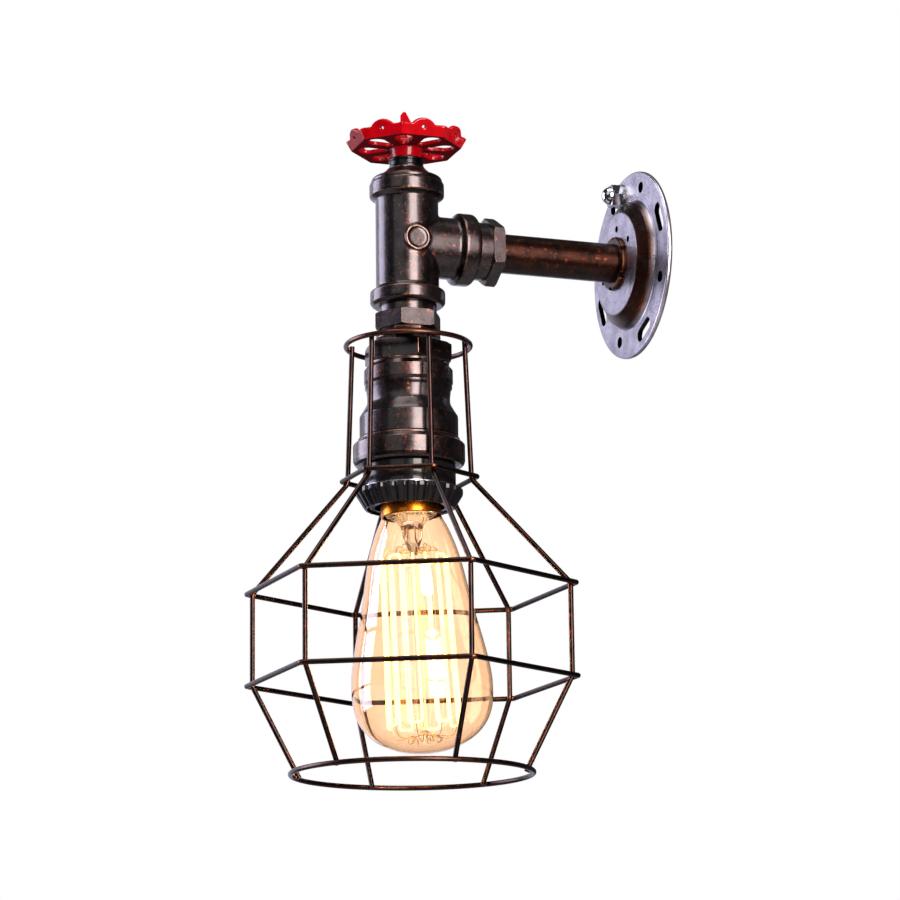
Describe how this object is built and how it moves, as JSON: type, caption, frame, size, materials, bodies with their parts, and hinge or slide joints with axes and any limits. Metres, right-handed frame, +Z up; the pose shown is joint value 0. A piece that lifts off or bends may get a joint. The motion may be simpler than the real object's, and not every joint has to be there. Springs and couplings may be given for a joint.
{
  "type": "pipe wall light",
  "caption": "Wall light made of bronze pipe fittings, with a red valve handwheel on top and a tapered amber bulb hanging in a wire cage.",
  "frame": {"origin": "centre of the wall plate's back face, in the wall's surface", "axes": "+Z up, +Y into the wall, so the lamp stands out along -Y; +X to the right of someone facing the wall"},
  "size_m": [0.1544, 0.183, 0.3116],
  "materials": {
    "plate_steel": "satin",
    "zinc_steel": "satin",
    "chrome": "polished",
    "copper_bronze": "satin, copper brushed over black",
    "antique_bronze": "semi-gloss, worn bronze over black",
    "wire_bronze": "satin",
    "blackened_iron": "matt",
    "red_paint": "gloss",
    "black_phenolic": "semi-gloss",
    "porcelain": "satin",
    "brass": "satin",
    "black_glass": "gloss",
    "solder": "dull",
    "amber_glass": "clear, amber tinted",
    "clear_glass": "clear",
    "nickel_wire": "satin",
    "filament": "glowing",
    "red_insulation": "matt",
    "black_insulation": "matt"
  },
  "bodies": {
    "fixture": {"wall_plate": "plate_steel", "face_nut": "plate_steel", "rear_nut": "zinc_steel", "earth_bolt": "zinc_steel", "earth_washer": "zinc_steel", "cap_nut": "chrome", "arm_pipe": "copper_bronze", "arm_bushing": "antique_bronze", "tee": "antique_bronze", "bonnet": "antique_bronze", "gland_nut": "blackened_iron", "lower_bushing": "antique_bronze", "nipple": "zinc_steel", "clamp_disc": "copper_bronze", "cage_strap": "wire_bronze", "neck_ring": "wire_bronze", "collar_ring": "wire_bronze", "upper_ring": "wire_bronze", "lower_ring": "wire_bronze", "bottom_ring": "wire_bronze", "neck_wires": "wire_bronze", "shoulder_wires": "wire_bronze", "belly_wires": "wire_bronze", "leg_wires": "wire_bronze", "cover_nut": "antique_bronze", "cover_band": "antique_bronze", "cover_barrel": "antique_bronze", "cover_flange": "antique_bronze", "nipple_nut": "zinc_steel", "holder_body": "black_phenolic", "holder_block": "porcelain", "terminal_screws": "brass", "screw_shell": "brass", "centre_contact": "brass", "live_wire": "red_insulation", "neutral_wire": "black_insulation"},
    "valve_wheel": {"handwheel": "red_paint", "spindle": "red_paint", "wheel_nut": "red_paint"},
    "bulb_lift": {"bulb_insulator": "black_glass", "bulb_tip": "solder"},
    "bulb": {"bulb_cap": "brass", "bulb_glass": "amber_glass", "bulb_stem": "clear_glass", "bulb_leads": "nickel_wire", "filament": "filament", "hooks": "nickel_wire"},
    "ring_lift": {"ring_washer": "zinc_steel"},
    "ring": {"shade_ring": "black_phenolic"}
  },
  "joints": [
    {"name": "wheel_turn", "type": "hinge", "parent": "fixture", "child": "valve_wheel", "pos_m": [0, -0.115, 0.045], "axis": [0, 0, 1], "continuous": true},
    {"name": "bulb_slide", "type": "slide", "parent": "fixture", "child": "bulb_lift", "axis": [0.0176, 0.0493, -0.9986], "range_m": [0, 0.0182]},
    {"name": "bulb_turn", "type": "hinge", "parent": "bulb_lift", "child": "bulb", "pos_m": [0, -0.115, -0.115], "axis": [0.0176, 0.0493, -0.9986], "range_deg": [0, 1800]},
    {"name": "ring_slide", "type": "slide", "parent": "fixture", "child": "ring_lift", "axis": [0, 0, -1], "range_m": [0, 0.0088]},
    {"name": "ring_turn", "type": "hinge", "parent": "ring_lift", "child": "ring", "pos_m": [0, -0.115, -0.12], "axis": [0, 0, -1], "range_deg": [0, 1260]}
  ],
  "couplings": [
    {"joint": "bulb_slide", "follows": "bulb_turn", "m_per_rad": 0.00057757},
    {"joint": "ring_slide", "follows": "ring_turn", "m_per_rad": 0.00039789}
  ]
}
